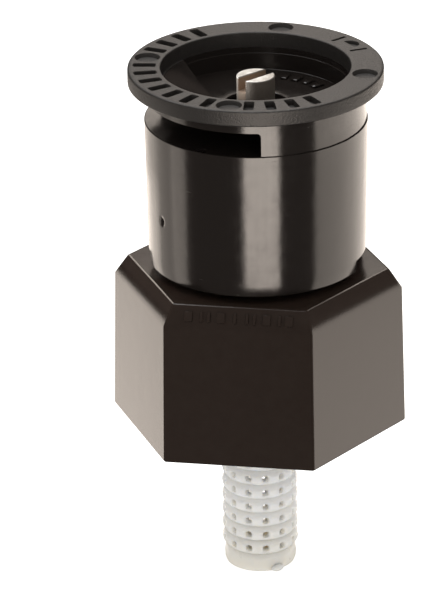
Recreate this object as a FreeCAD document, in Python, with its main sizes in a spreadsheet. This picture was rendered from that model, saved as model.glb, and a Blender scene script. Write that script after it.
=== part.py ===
import FreeCAD, Part
import math
import os
import Sketcher

# Fixed half-circle spray nozzle on a hexagonal riser adapter, with its flow screw and its filter basket.
# Millimetres, +Z up. The origin is the centre of the adapter's lower face, at the mouth of the pipe thread.
# One flat of the hexagon faces -Y. The nozzle's pieces are drawn with the spray direction along +X and
# are then turned about Z by nozzle_clocking.

SIZES = {
    # riser adapter: drafted hexagon with a bevelled top, and a threaded neck
    "hex_foot_radius": 16.30,  # corner radius at the lower face
    "hex_draft_angle": 1.28,
    "hex_shoulder_radius": 15.89,  # corner radius where the bevel starts
    "hex_shoulder_level": 15.90,
    "hex_bevel_angle": 31.1,
    "hex_bevel_height": 2.20,
    "inlet_mouth_radius": 9.16,  # crest of the half-inch pipe thread at the mouth
    "inlet_end_radius": 8.75,
    "inlet_thread_length": 13.0,
    "inlet_lead_in": 1.50,
    "inlet_floor_level": 14.40,
    "inlet_thread_pitch": 1.814,  # 14 threads per inch
    "inlet_thread_depth": 1.05,
    "inlet_taper_angle": 1.79,
    "inlet_thread_foot": 0.10,
    "through_bore_radius": 5.00,
    "neck_root_radius": 7.20,
    "neck_relief_top": 20.20,
    "neck_top_level": 27.50,
    "neck_edge_break": 0.45,
    # nozzle thread, neck to nozzle base
    "nozzle_thread_pitch": 0.907,  # 28 threads per inch
    "male_thread_radius": 7.80,
    "male_thread_depth": 0.52,
    "neck_thread_foot": 19.39,
    "female_thread_radius": 7.45,
    "female_thread_depth": 0.52,
    "thread_root_share": 0.10,  # half of the root's flat, as a share of the pitch
    "thread_overrun": 0.12,  # how far a thread's cut starts clear of its crest
    # nozzle base
    "nozzle_clocking": -139.5,
    "base_rim_level": 18.96,
    "base_rim_radius": 11.78,
    "seam_level": 35.04,
    "seam_radius": 12.00,
    "skirt_wall": 1.25,
    "sleeve_radius": 9.35,
    "sleeve_foot_level": 19.70,
    "web_lower_level": 28.72,
    "web_upper_level": 30.60,
    "web_orifice_radius": 3.00,
    "cavity_roof_level": 32.20,
    "plenum_radius": 4.60,
    "rib_thickness": 0.90,
    "rib_foot_level": 21.50,
    "rib_count": 6,
    "notch_height": 1.25,
    "notch_angle": 38.0,
    "notch_start_angle": 141.6,
    "dimple_radius": 0.55,
    "dimple_level": 25.43,
    "dimple_depth": 0.60,
    # nozzle cap
    "flange_top_level": 40.80,
    "flange_under_level": 39.11,
    "flange_radius": 13.69,
    "cap_wall_radius": 11.85,
    "recess_radius": 10.15,
    "recess_step_level": 38.50,
    "recess_lower_radius": 9.95,
    "recess_floor_level": 36.60,
    "deflector_wall_level": 39.18,  # where the deflector's back meets the recess wall
    "deflector_foot_radius": 4.50,
    "deflector_chord": 3.39,
    "hub_pit_radius": 3.35,
    "hub_pit_depth": 1.10,
    "plug_radius": 4.55,
    "plug_foot_level": 33.00,
    "orifice_inner_radius": 3.90,
    "orifice_lip_level": 35.30,
    "window_top_level": 37.65,
    "window_lip_radius": 11.20,
    "window_angle": 122.0,
    "slot_pitch_angle": 11.25,
    "slot_width": 1.15,
    "slot_inner_radius": 10.62,
    "slot_outer_radius": 13.12,
    "slot_depth": 0.75,
    "pin_mark_radius": 1.22,
    "pin_mark_circle": 11.92,
    "pin_mark_depth": 0.45,
    "arc_mark_radius": 1.05,  # half disc that stands for a half-circle pattern
    "arc_mark_chord": 0.10,
    "arc_mark_depth": 0.35,
    "arc_tick_width": 0.42,
    "arc_tick_inner_radius": 10.95,
    "arc_tick_outer_radius": 12.95,
    "arc_tick_angle": 9.5,
    # flow screw
    "screw_radius": 2.05,
    "screw_gap": 0.05,  # running clearance in the cap's hub
    "screw_top_level": 39.70,
    "screw_edge_break": 0.18,
    "screw_shank_foot": 31.00,
    "screw_tip_level": 29.25,
    "screw_tip_radius": 0.90,
    "screw_slot_width": 1.20,
    "screw_slot_depth": 1.60,
    "screw_slot_angle": 50.0,
    # filter basket, drawn upwards from its own closed end
    "filter_drop": 18.10,  # how far it hangs below the adapter's lower face
    "filter_length": 46.78,
    "filter_bulge_radius": 4.04,
    "filter_valley_depth": 0.34,
    "filter_bore_radius": 3.00,
    "filter_end_wall": 0.90,
    "filter_foot_band": 1.60,
    "filter_row_pitch": 1.68,
    "filter_row_count": 24,
    "filter_flange_radius": 6.85,
    "filter_flange_thickness": 1.18,
    "filter_seat_radius": 1.70,
}

doc = FreeCAD.newDocument("spray_head")
sheet = doc.addObject("Spreadsheet::Sheet", "dims")
for row, (alias, number) in enumerate(SIZES.items(), start=1):
    sheet.set(f"A{row}", alias)
    sheet.set(f"B{row}", str(number))
    sheet.setAlias(f"B{row}", alias)
doc.recompute()


def value(spec):
    """Number for a sum of cells, such as 'screw_radius + screw_gap'."""
    total = 0.0
    sign = 1
    for word in spec.split():
        if word in ("+", "-"):
            sign = 1 if word == "+" else -1
        else:
            total += sign * float(SIZES.get(word, 0.0))
    return total


def formula(spec):
    """The same sum as an expression on the sheet."""
    return " ".join(word if word in ("+", "-") else "dims." + word for word in spec.split())


def new_body(name):
    body = doc.addObject("PartDesign::Body", name)
    body.Label = name
    return body


def plane(body, role):
    return next(f for f in body.Origin.OriginFeatures if f.Role == role)


def new_sketch(body, name, role="XZ_Plane"):
    sketch = body.newObject("Sketcher::SketchObject", name)
    sketch.AttachmentSupport = (plane(body, role), [""])
    sketch.MapMode = "FlatFace"
    return sketch


def bind(sketch, index, spec):
    sketch.setExpression(f"Constraints[{index}]", formula(spec))


def pin_vertex(sketch, line, x_spec, y_spec):
    """Hold a line's first point at the place that two sums of cells give; '0' puts it on an axis."""
    for kind, spec, axis in (("DistanceX", x_spec, -2), ("DistanceY", y_spec, -1)):
        if spec == "0":
            sketch.addConstraint(Sketcher.Constraint("PointOnObject", line, 1, axis))
            continue
        held = sketch.addConstraint(Sketcher.Constraint(kind, -1, 1, line, 1, value(spec)))
        bind(sketch, held, spec)


def outline(sketch, corners):
    """Closed outline of straight lines through corners given as pairs of sums of cells."""
    points = [FreeCAD.Vector(value(x), value(y), 0) for x, y in corners]
    ends = points[1:] + points[:1]
    lines = [sketch.addGeometry(Part.LineSegment(a, b)) for a, b in zip(points, ends)]
    for line, following in zip(lines, lines[1:] + lines[:1]):
        sketch.addConstraint(Sketcher.Constraint("Coincident", line, 2, following, 1))
    for line, (x_spec, y_spec) in zip(lines, corners):
        pin_vertex(sketch, line, x_spec, y_spec)
    return sketch


def revolve(body, name, corners, kind="Revolution", angle=None):
    """Turn an outline on the XZ plane about Z: all round, or over an angle centred on +X."""
    sketch = outline(new_sketch(body, name + "_outline"), corners)
    feature = body.newObject("PartDesign::" + kind, name)
    feature.Profile = sketch
    feature.ReferenceAxis = (sketch, ["V_Axis"])
    feature.Angle = 360
    if angle:
        feature.Midplane = True
        feature.setExpression("Angle", formula(angle))
    doc.recompute()
    return feature


def extrude(body, name, sketch, length, kind="Pad", level=None, down=False):
    """Pad or pocket a sketch by a sum of cells, after lifting it to its level."""
    if level:
        sketch.setExpression(".AttachmentOffset.Base.z", formula(level))
    feature = body.newObject("PartDesign::" + kind, name)
    feature.Profile = sketch
    feature.setExpression("Length", formula(length))
    feature.Reversed = down
    doc.recompute()
    return feature


def around(body, name, feature, count, angle):
    """Repeat a feature about Z: count places over the angle, which ends at the last place."""
    pattern = body.newObject("PartDesign::PolarPattern", name)
    pattern.Originals = [feature]
    pattern.Axis = (plane(body, "Z_Axis"), [""])
    pattern.Occurrences = count
    pattern.Angle = angle
    body.Tip = pattern
    doc.recompute()
    return pattern


def hexagon(sketch, radius):
    """Hexagon with its corners on a construction circle and one corner on +X."""
    corner = [
        FreeCAD.Vector(value(radius) * math.cos(k * math.pi / 3), value(radius) * math.sin(k * math.pi / 3), 0)
        for k in range(6)
    ]
    circle = sketch.addGeometry(Part.Circle(FreeCAD.Vector(), FreeCAD.Vector(0, 0, 1), value(radius)), True)
    sketch.addConstraint(Sketcher.Constraint("Coincident", circle, 3, -1, 1))
    sides = [sketch.addGeometry(Part.LineSegment(corner[k], corner[(k + 1) % 6])) for k in range(6)]
    for side, following in zip(sides, sides[1:] + sides[:1]):
        sketch.addConstraint(Sketcher.Constraint("Coincident", side, 2, following, 1))
        sketch.addConstraint(Sketcher.Constraint("PointOnObject", side, 1, circle))
    for side in sides[1:]:
        sketch.addConstraint(Sketcher.Constraint("Equal", sides[0], side))
    sketch.addConstraint(Sketcher.Constraint("PointOnObject", sides[0], 1, -1))
    bind(sketch, sketch.addConstraint(Sketcher.Constraint("Radius", circle, value(radius))), radius)
    return sketch


def disc(sketch, radius, x_spec="0", y_spec="0"):
    """Full circle at a place on the sketch."""
    centre = FreeCAD.Vector(value(x_spec), value(y_spec), 0)
    circle = sketch.addGeometry(Part.Circle(centre, FreeCAD.Vector(0, 0, 1), value(radius)))
    for kind, spec, axis in (("DistanceX", x_spec, -2), ("DistanceY", y_spec, -1)):
        if spec == "0":
            sketch.addConstraint(Sketcher.Constraint("PointOnObject", circle, 3, axis))
        else:
            held = sketch.addConstraint(Sketcher.Constraint(kind, -1, 1, circle, 3, value(spec)))
            bind(sketch, held, spec)
    bind(sketch, sketch.addConstraint(Sketcher.Constraint("Radius", circle, value(radius))), radius)
    return sketch


def thread(body, name, radius, depth, pitch, foot, turns, inward, taper="0"):
    """Cut a right-hand V thread: its helix starts at the foot, and its crest lies on the given radius.

    inward cuts towards the axis, as on a bolt; otherwise the thread is cut outwards, as in a nut.
    The taper is the angle at which the crest closes in as it rises.
    """
    crest = value(radius)
    sign = -1 if inward else 1
    tip = crest + sign * value(depth)
    mouth = crest - sign * value("thread_overrun")
    root_half = value("thread_root_share") * value(pitch)
    mouth_half = root_half + abs(tip - mouth) * math.tan(math.radians(30))
    sketch = new_sketch(body, name + "_profile")
    corners = [
        FreeCAD.Vector(mouth, foot - mouth_half, 0),
        FreeCAD.Vector(tip, foot - root_half, 0),
        FreeCAD.Vector(tip, foot + root_half, 0),
        FreeCAD.Vector(mouth, foot + mouth_half, 0),
    ]
    sides = [sketch.addGeometry(Part.LineSegment(corners[k], corners[(k + 1) % 4])) for k in range(4)]
    for side, following in zip(sides, sides[1:] + sides[:1]):
        sketch.addConstraint(Sketcher.Constraint("Coincident", side, 2, following, 1))
    sketch.addConstraint(Sketcher.Constraint("Block", sides[0]))
    sketch.addConstraint(Sketcher.Constraint("Block", sides[2]))
    helix = body.newObject("PartDesign::SubtractiveHelix", name)
    helix.Profile = sketch
    helix.ReferenceAxis = (sketch, ["V_Axis"])
    helix.Mode = 1
    helix.Turns = turns
    helix.setExpression("Pitch", formula(pitch))
    helix.Angle = -value(taper)
    doc.recompute()
    return helix


def bar(sketch, inner, outer, width):
    """Rectangle across the +X axis of the sketch, from an inner to an outer radius."""
    low, high, half = value(inner), value(outer), value(width) / 2
    corners = [(low, -half), (high, -half), (high, half), (low, half)]
    points = [FreeCAD.Vector(x, y, 0) for x, y in corners]
    sides = [sketch.addGeometry(Part.LineSegment(points[k], points[(k + 1) % 4])) for k in range(4)]
    for side, following in zip(sides, sides[1:] + sides[:1]):
        sketch.addConstraint(Sketcher.Constraint("Coincident", side, 2, following, 1))
    for side in (sides[0], sides[2]):
        sketch.addConstraint(Sketcher.Constraint("Horizontal", side))
    sketch.addConstraint(Sketcher.Constraint("Vertical", sides[3]))
    sketch.addConstraint(Sketcher.Constraint("Symmetric", sides[1], 1, sides[1], 2, -1))
    for line, spec in ((sides[0], inner), (sides[1], outer)):
        held = sketch.addConstraint(Sketcher.Constraint("DistanceX", -1, 1, line, 1, value(spec)))
        bind(sketch, held, spec)
    held = sketch.addConstraint(Sketcher.Constraint("DistanceY", sides[1], 1, sides[1], 2, value(width)))
    bind(sketch, held, width)
    return sketch


def segment(sketch, radius, chord):
    """Disc on the sketch without the part past a chord across +X."""
    reach, cut = value(radius), value(chord)
    half = math.acos(cut / reach)
    arc = sketch.addGeometry(Part.ArcOfCircle(
        Part.Circle(FreeCAD.Vector(), FreeCAD.Vector(0, 0, 1), reach), half, 2 * math.pi - half))
    height = reach * math.sin(half)
    line = sketch.addGeometry(Part.LineSegment(FreeCAD.Vector(cut, -height, 0), FreeCAD.Vector(cut, height, 0)))
    sketch.addConstraint(Sketcher.Constraint("Coincident", arc, 3, -1, 1))
    sketch.addConstraint(Sketcher.Constraint("Coincident", line, 2, arc, 1))
    sketch.addConstraint(Sketcher.Constraint("Coincident", line, 1, arc, 2))
    sketch.addConstraint(Sketcher.Constraint("Vertical", line))
    bind(sketch, sketch.addConstraint(Sketcher.Constraint("Radius", arc, reach)), radius)
    held = sketch.addConstraint(Sketcher.Constraint("DistanceX", -1, 1, line, 1, cut))
    bind(sketch, held, chord)
    return sketch


def centred_bar(sketch, length, width):
    """Rectangle centred on the sketch's origin."""
    reach, half = value(length) / 2, value(width) / 2
    points = [FreeCAD.Vector(x, y, 0) for x, y in ((-reach, -half), (reach, -half), (reach, half), (-reach, half))]
    sides = [sketch.addGeometry(Part.LineSegment(points[k], points[(k + 1) % 4])) for k in range(4)]
    for side, following in zip(sides, sides[1:] + sides[:1]):
        sketch.addConstraint(Sketcher.Constraint("Coincident", side, 2, following, 1))
    for side in (sides[0], sides[2]):
        sketch.addConstraint(Sketcher.Constraint("Horizontal", side))
    for side in (sides[1], sides[3]):
        sketch.addConstraint(Sketcher.Constraint("Vertical", side))
    sketch.addConstraint(Sketcher.Constraint("Symmetric", sides[0], 1, sides[2], 1, -1, 1))
    for kind, side, spec in (("DistanceX", 0, length), ("DistanceY", 1, width)):
        held = sketch.addConstraint(Sketcher.Constraint(kind, sides[side], 1, sides[side], 2, value(spec)))
        bind(sketch, held, spec)
    return sketch


def turned(sketch, degrees):
    """Turn a flat sketch about Z on its plane."""
    sketch.AttachmentOffset = FreeCAD.Placement(
        FreeCAD.Vector(), FreeCAD.Rotation(FreeCAD.Vector(0, 0, 1), degrees)
    )
    return sketch


def turn_feature(feature, sketch, angle):
    """Turn an upright sketch, and the feature cut from it, about Z by a cell's angle."""
    base = sketch.AttachmentOffset.Base
    sketch.AttachmentOffset = FreeCAD.Placement(base, FreeCAD.Rotation(FreeCAD.Vector(0, 1, 0), 1))
    sketch.setExpression(".AttachmentOffset.Rotation.Angle", formula(angle))
    doc.recompute()
    return feature


def clock(body, angle="nozzle_clocking"):
    """Turn a finished piece about Z to where it points at rest."""
    body.Placement = FreeCAD.Placement(FreeCAD.Vector(), FreeCAD.Rotation(FreeCAD.Vector(0, 0, 1), 1))
    body.setExpression(".Placement.Rotation.Angle", formula(angle))


def riser_adapter():
    """Hexagonal adapter: half-inch pipe thread below, bore through, threaded neck above."""
    body = new_body("riser_adapter")
    foot = extrude(body, "hex_block", hexagon(new_sketch(body, "hex_foot", "XY_Plane"), "hex_foot_radius"),
                   "hex_shoulder_level")
    foot.setExpression("TaperAngle", "-dims.hex_draft_angle")
    shoulder = hexagon(new_sketch(body, "hex_shoulder", "XY_Plane"), "hex_shoulder_radius")
    bevel = extrude(body, "hex_bevel", shoulder, "hex_bevel_height", level="hex_shoulder_level")
    bevel.setExpression("TaperAngle", "-dims.hex_bevel_angle")
    hex_top = "hex_shoulder_level + hex_bevel_height"
    revolve(body, "neck", [
        ("0", "hex_shoulder_level"),
        ("neck_root_radius", "hex_shoulder_level"),
        ("neck_root_radius", "neck_relief_top"),
        ("male_thread_radius", "neck_relief_top"),
        ("male_thread_radius", "neck_top_level - neck_edge_break"),
        ("male_thread_radius - neck_edge_break", "neck_top_level"),
        ("0", "neck_top_level"),
    ])
    revolve(body, "waterway", [
        ("0", "0"),
        ("inlet_mouth_radius + inlet_lead_in", "0"),
        ("inlet_mouth_radius", "inlet_lead_in"),
        ("inlet_end_radius", "inlet_thread_length"),
        ("inlet_end_radius", "inlet_floor_level"),
        ("through_bore_radius", "inlet_floor_level"),
        ("through_bore_radius", "neck_top_level"),
        ("0", "neck_top_level"),
    ], kind="Groove")
    thread(body, "inlet_thread", "inlet_mouth_radius", "inlet_thread_depth", "inlet_thread_pitch",
           foot=value("inlet_thread_foot"), turns=7.0, inward=False, taper="inlet_taper_angle")
    thread(body, "neck_thread", "male_thread_radius", "male_thread_depth", "nozzle_thread_pitch",
           foot=value("neck_thread_foot"), turns=9.5, inward=True)
    return body


def nozzle_base():
    """Lower moulding: outer skirt, threaded sleeve, web with the inlet orifice, and the seat for the cap."""
    body = new_body("nozzle_base")
    revolve(body, "base_turning", [
        ("base_rim_radius - skirt_wall", "base_rim_level"),
        ("base_rim_radius", "base_rim_level"),
        ("seam_radius", "seam_level"),
        ("plenum_radius", "seam_level"),
        ("plenum_radius", "web_upper_level"),
        ("web_orifice_radius", "web_upper_level"),
        ("web_orifice_radius", "web_lower_level"),
        ("female_thread_radius", "web_lower_level"),
        ("female_thread_radius", "sleeve_foot_level"),
        ("sleeve_radius", "sleeve_foot_level"),
        ("sleeve_radius", "cavity_roof_level"),
        ("seam_radius - skirt_wall", "cavity_roof_level"),
    ])
    # each rib runs a little way into the sleeve and the skirt, so that it joins both
    rib = bar(new_sketch(body, "rib_plan", "XY_Plane"), "sleeve_radius - rib_thickness",
              "seam_radius - rib_thickness", "rib_thickness")
    rib_pad = extrude(body, "rib", rib, "cavity_roof_level - rib_foot_level", level="rib_foot_level")
    ribs = value("rib_count")
    around(body, "ribs", rib_pad, int(ribs), 360 * (ribs - 1) / ribs)
    notch = bar(new_sketch(body, "notch_plan", "XZ_Plane"), "sleeve_radius + rib_thickness",
                "seam_radius + rib_thickness", "notch_height + notch_height")
    notch.setExpression(".AttachmentOffset.Base.y", formula("base_rim_level"))
    cut = body.newObject("PartDesign::Groove", "notch")
    cut.Profile = notch
    cut.ReferenceAxis = (plane(body, "Z_Axis"), [""])
    cut.setExpression("Angle", formula("notch_angle"))
    cut.Midplane = True
    doc.recompute()
    turn_feature(cut, notch, "notch_start_angle")
    around(body, "notches", cut, 2, 180)
    dimple = disc(new_sketch(body, "dimple_plan", "YZ_Plane"), "dimple_radius", "0", "dimple_level")
    extrude(body, "dimple", dimple, "dimple_depth", kind="Pocket", level="seam_radius - dimple_depth", down=True)
    # its grooves take the neck's ridges, which lie half a pitch from the neck's grooves, once it is clocked
    half_turn_lead = (0.5 + value("nozzle_clocking") / 360) * value("nozzle_thread_pitch")
    thread(body, "sleeve_thread", "female_thread_radius", "female_thread_depth", "nozzle_thread_pitch",
           foot=value("neck_thread_foot - nozzle_thread_pitch") + half_turn_lead, turns=10.5, inward=False)
    clock(body)
    return body


def nozzle_cap():
    """Upper moulding: flange, recess, deflector over the half-round spray window, and the screw's hub."""
    body = new_body("nozzle_cap")
    revolve(body, "cap_turning", [
        ("0", "plug_foot_level"),
        ("plug_radius", "plug_foot_level"),
        ("plug_radius", "seam_level"),
        ("cap_wall_radius", "seam_level"),
        ("cap_wall_radius", "flange_under_level"),
        ("flange_radius", "flange_under_level"),
        ("flange_radius", "flange_top_level"),
        ("recess_radius", "flange_top_level"),
        ("recess_radius", "deflector_wall_level"),
        ("deflector_foot_radius", "recess_floor_level"),
        ("hub_pit_radius", "recess_floor_level"),
        ("hub_pit_radius", "recess_floor_level - hub_pit_depth"),
        ("0", "recess_floor_level - hub_pit_depth"),
    ])
    for name, radius, floor in (("recess", "recess_radius", "recess_step_level"),
                                ("recess_bottom", "recess_lower_radius", "recess_floor_level")):
        plan = segment(new_sketch(body, name + "_plan", "XY_Plane"), radius, "deflector_chord")
        extrude(body, name, plan, "flange_top_level - " + floor, kind="Pocket", level=floor, down=True)
    revolve(body, "spray_window", [
        ("orifice_inner_radius", "plug_foot_level - hub_pit_depth"),
        ("flange_radius", "plug_foot_level - hub_pit_depth"),
        ("flange_radius", "window_top_level"),
        ("window_lip_radius", "window_top_level"),
        ("orifice_inner_radius", "orifice_lip_level"),
    ], kind="Groove", angle="window_angle")
    hub = disc(new_sketch(body, "hub_bore_plan", "XY_Plane"), "screw_radius + screw_gap")
    extrude(body, "hub_bore", hub, "recess_floor_level - plug_foot_level", kind="Pocket",
            level="plug_foot_level", down=True)
    pitch = value("slot_pitch_angle")
    for name, first, count in (("slots_left", -8, 4), ("slots_middle", -3, 7), ("slots_right", 5, 4)):
        plan = turned(bar(new_sketch(body, name + "_plan", "XY_Plane"), "slot_inner_radius",
                          "slot_outer_radius", "slot_width"), first * pitch)
        cut = extrude(body, name + "_cut", plan, "slot_depth", kind="Pocket", level="flange_top_level")
        around(body, name, cut, count, pitch * (count - 1))
    plan = turned(disc(new_sketch(body, "pin_mark_plan", "XY_Plane"), "pin_mark_radius", "pin_mark_circle"), 45)
    cut = extrude(body, "pin_mark", plan, "pin_mark_depth", kind="Pocket", level="flange_top_level")
    around(body, "pin_marks", cut, 4, 270)
    half_disc = segment(new_sketch(body, "arc_mark_plan", "XY_Plane"), "arc_mark_radius", "arc_mark_chord")
    half_disc.setExpression(".AttachmentOffset.Base.x", "-dims.pin_mark_circle")
    extrude(body, "arc_mark", half_disc, "arc_mark_depth", kind="Pocket", level="flange_top_level")
    tick_angle = value("arc_tick_angle")
    tick = turned(bar(new_sketch(body, "arc_tick_plan", "XY_Plane"), "arc_tick_inner_radius",
                      "arc_tick_outer_radius", "arc_tick_width"), 180 - tick_angle)
    cut = extrude(body, "arc_tick", tick, "arc_mark_depth", kind="Pocket", level="flange_top_level")
    around(body, "arc_ticks", cut, 2, 2 * tick_angle)
    clock(body)
    return body


def adjusting_screw():
    """Stainless flow screw: plain slotted shank above, conical throttle tip below."""
    body = new_body("adjusting_screw")
    revolve(body, "screw_turning", [
        ("0", "screw_tip_level"),
        ("screw_tip_radius", "screw_tip_level"),
        ("screw_radius", "screw_shank_foot"),
        ("screw_radius", "screw_top_level - screw_edge_break"),
        ("screw_radius - screw_edge_break", "screw_top_level"),
        ("0", "screw_top_level"),
    ])
    plan = new_sketch(body, "driver_slot_plan", "XY_Plane")
    centred_bar(plan, "screw_radius + screw_radius", "screw_slot_width")
    extrude(body, "driver_slot", plan, "screw_slot_depth", kind="Pocket", level="screw_top_level")
    clock(body, "screw_slot_angle")
    return body


def filter_screen():
    """Basket drawn upwards from its closed end: ribbed tube under a flange with the throttle seat."""
    body = new_body("filter_screen")
    inner_roof = "filter_length - filter_flange_thickness"
    revolve(body, "basket", [
        ("0", "0"),
        ("filter_bulge_radius", "0"),
        ("filter_bulge_radius", inner_roof),
        ("filter_flange_radius", inner_roof),
        ("filter_flange_radius", "filter_length"),
        ("filter_seat_radius", "filter_length"),
        ("filter_seat_radius", inner_roof),
        ("filter_bore_radius", inner_roof),
        ("filter_bore_radius", "filter_end_wall"),
        ("0", "filter_end_wall"),
    ])
    valley = revolve(body, "valley", [
        ("filter_bulge_radius - filter_valley_depth", "filter_foot_band"),
        ("filter_bulge_radius + filter_valley_depth", "filter_foot_band - filter_valley_depth - filter_valley_depth"),
        ("filter_bulge_radius + filter_valley_depth", "filter_foot_band + filter_valley_depth + filter_valley_depth"),
    ], kind="Groove")
    rows = body.newObject("PartDesign::LinearPattern", "valleys")
    rows.Originals = [valley]
    rows.Direction = (plane(body, "Z_Axis"), [""])
    rows.Occurrences = int(value("filter_row_count"))
    rows.setExpression("Length", "dims.filter_row_pitch * (dims.filter_row_count - 1)")
    body.Tip = rows
    body.setExpression(".Placement.Base.z", "-dims.filter_drop")
    doc.recompute()
    return body


PIECES = [riser_adapter(), nozzle_base(), nozzle_cap(), adjusting_screw(), filter_screen()]
doc.recompute()
for item in doc.Objects:
    if "Invalid" in item.State or "Error" in item.State:
        raise RuntimeError(f"{item.Name} failed: {item.State}")
os.makedirs("parts", exist_ok=True)
for piece in PIECES:
    if piece.Shape.isNull() or not piece.Shape.isValid() or len(piece.Shape.Solids) != 1:
        raise RuntimeError(f"{piece.Label} has no single valid solid")
    piece.Shape.exportStep(f"parts/{piece.Label}.step")
    print(piece.Label, round(piece.Shape.Volume, 1), "mm3")
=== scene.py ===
import math

import bmesh
import bpy
from mathutils import Matrix, Vector, noise


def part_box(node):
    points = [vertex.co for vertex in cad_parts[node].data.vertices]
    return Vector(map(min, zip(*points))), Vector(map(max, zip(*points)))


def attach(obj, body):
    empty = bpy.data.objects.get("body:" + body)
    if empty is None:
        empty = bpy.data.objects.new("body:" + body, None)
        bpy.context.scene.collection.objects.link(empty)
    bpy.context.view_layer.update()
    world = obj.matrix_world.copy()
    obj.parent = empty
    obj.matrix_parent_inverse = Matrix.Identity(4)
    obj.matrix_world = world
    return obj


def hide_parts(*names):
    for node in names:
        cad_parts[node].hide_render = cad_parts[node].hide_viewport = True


# Shrub spray head: a half-circle nozzle on a hexagonal riser adapter, with its flow screw and filter basket.
# Pieces are modelled in millimetres in the frame's own axes and made metres when they are finished.
# The nozzle's mouldings are drawn with the spray leaving along +X and are then turned by CLOCKING.

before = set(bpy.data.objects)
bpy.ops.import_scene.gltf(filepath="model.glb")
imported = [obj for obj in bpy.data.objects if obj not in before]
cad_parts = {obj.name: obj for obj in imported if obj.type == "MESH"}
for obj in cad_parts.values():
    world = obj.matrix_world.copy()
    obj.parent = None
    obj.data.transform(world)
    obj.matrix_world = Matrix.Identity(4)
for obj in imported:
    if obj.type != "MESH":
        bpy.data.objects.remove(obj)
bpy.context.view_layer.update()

MM = 0.001
CLOCKING = -139.5  # degrees, where the spray leaves
TURN_STEP = 2.0  # degrees between the places of a turned outline
MERGE = 0.0004  # millimetres within which two points are one
SHARP_ANGLE = math.radians(38)
AXIS_POINT = (0.0, 0.0, 0.0)


def corners_of(node):
    """Lowest and highest corner of a CAD node, in millimetres."""
    low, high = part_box(node)
    return low / MM, high / MM


_, ADAPTER_HIGH = corners_of("riser_adapter")
BASE_LOW, BASE_HIGH = corners_of("nozzle_base")
CAP_LOW, CAP_HIGH = corners_of("nozzle_cap")
SCREW_LOW, SCREW_HIGH = corners_of("adjusting_screw")
FILTER_LOW, FILTER_HIGH = corners_of("filter_screen")

HEX_FOOT = ADAPTER_HIGH.x
NECK_TOP = ADAPTER_HIGH.z
BASE_RIM = BASE_LOW.z
SEAM = BASE_HIGH.z
PLUG_FOOT = CAP_LOW.z
FLANGE_TOP = CAP_HIGH.z
SCREW_TIP = SCREW_LOW.z
SCREW_TOP = SCREW_HIGH.z
BASKET_FOOT = FILTER_LOW.z
BASKET_TOP = FILTER_HIGH.z

# riser adapter
HEX_SHOULDER = 15.90
HEX_SHOULDER_RADIUS = 15.89
HEX_TOP = 18.10
HEX_TOP_RADIUS = 14.36
NECK_RELIEF_RADIUS = 7.20
NECK_RELIEF_TOP = 20.20
NECK_RADIUS = 7.80
NECK_TAPER_FOOT = 27.05
NECK_END_RADIUS = 7.35
NECK_PITCH = 0.907
NECK_GROOVE = 19.39  # height of a groove's middle on +X
NECK_GROOVE_DEPTH = 0.52
ADAPTER_BORE = 5.00
INLET_ROOF = 14.40
INLET_END = 13.00
INLET_END_RADIUS = 8.75
INLET_MOUTH = 1.50
INLET_MOUTH_RADIUS = 9.16
INLET_CHAMFER_RADIUS = 10.66
INLET_PITCH = 1.814
INLET_GROOVE = 0.10
INLET_GROOVE_DEPTH = 1.05
# places along the bevel and widths of the raised bars
MARK_ROW = [(-5.4, 0.9), (-4.0, 0.35), (-3.2, 0.35), (-1.9, 0.9), (-0.4, 0.35), (0.9, 0.35), (1.7, 0.35),
            (3.0, 0.9), (4.4, 0.35), (5.4, 0.9)]

# nozzle base
SEAM_RADIUS = 12.0
RIM_RADIUS = 11.78
SKIRT_WALL = 1.25
SLEEVE_RADIUS = 7.45
SLEEVE_OUTSIDE = 9.35
SLEEVE_FOOT = 19.70
WEB_UNDER = 28.72
DIMPLE_LEVEL = 25.43
DIMPLE_HALF = 7.0  # degrees each side of the dimple that are turned in finer steps

# nozzle cap
FLANGE_RADIUS = 13.69
FLANGE_UNDER = 39.11
FLANGE_INNER = 10.15
CAP_WALL = 11.85
WINDOW_TOP = 37.65
WINDOW_HALF = 61
ROOF_FOOT = 35.30
ROOF_EDGE = 11.20
RECESS_RADIUS = 9.95
RECESS_LIP = 39.18
RECESS_STEP = 38.50
RECESS_FLOOR = 36.60
CHORD = 3.39
HUB_BORE = 2.10
HUB_RADIUS = 3.90
PLUG_RADIUS = 4.55
PIT_FLOOR = 35.50
PIT_RADIUS = 3.35
PIN_CIRCLE = 11.92
SLOT_CIRCLE = 11.87
SLOT_ANGLES = [-90.0, -78.75, -67.5, -56.25, -33.75, -22.5, -11.25, 0.0, 11.25, 22.5, 33.75, 55.0, 65.8, 76.9,
               88.0]
RECESS_MARKS = [183.0, 193.5, 204.0, 214.5]

# flow screw
SCREW_TURN = 50
SCREW_SLOT_HALF = 0.60

# filter basket
BASKET_COLUMNS = 13
BASKET_ROWS = 22
ROW_PITCH = 1.72
FOOT_BAND = 2.15
COLUMN_CUTS = (0.0, 0.22, 0.31, 0.69, 0.78, 1.0)  # shares of a column: the opening is the middle one
# shares of a row, and the bulge's radius there
ROW_CUTS = ((0.09, 3.92), (0.30, 4.24), (0.70, 4.24), (0.91, 3.92))
BULGE_LIMIT = 4.3  # clear of the bulges, and inside the flange
VALLEY_RADIUS = 3.56
BASKET_BORE = 3.00
BASKET_CLOCKING = -72.0 - 0.5 * 360 / BASKET_COLUMNS


# ---------------------------------------------------------------- mesh helpers

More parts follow.
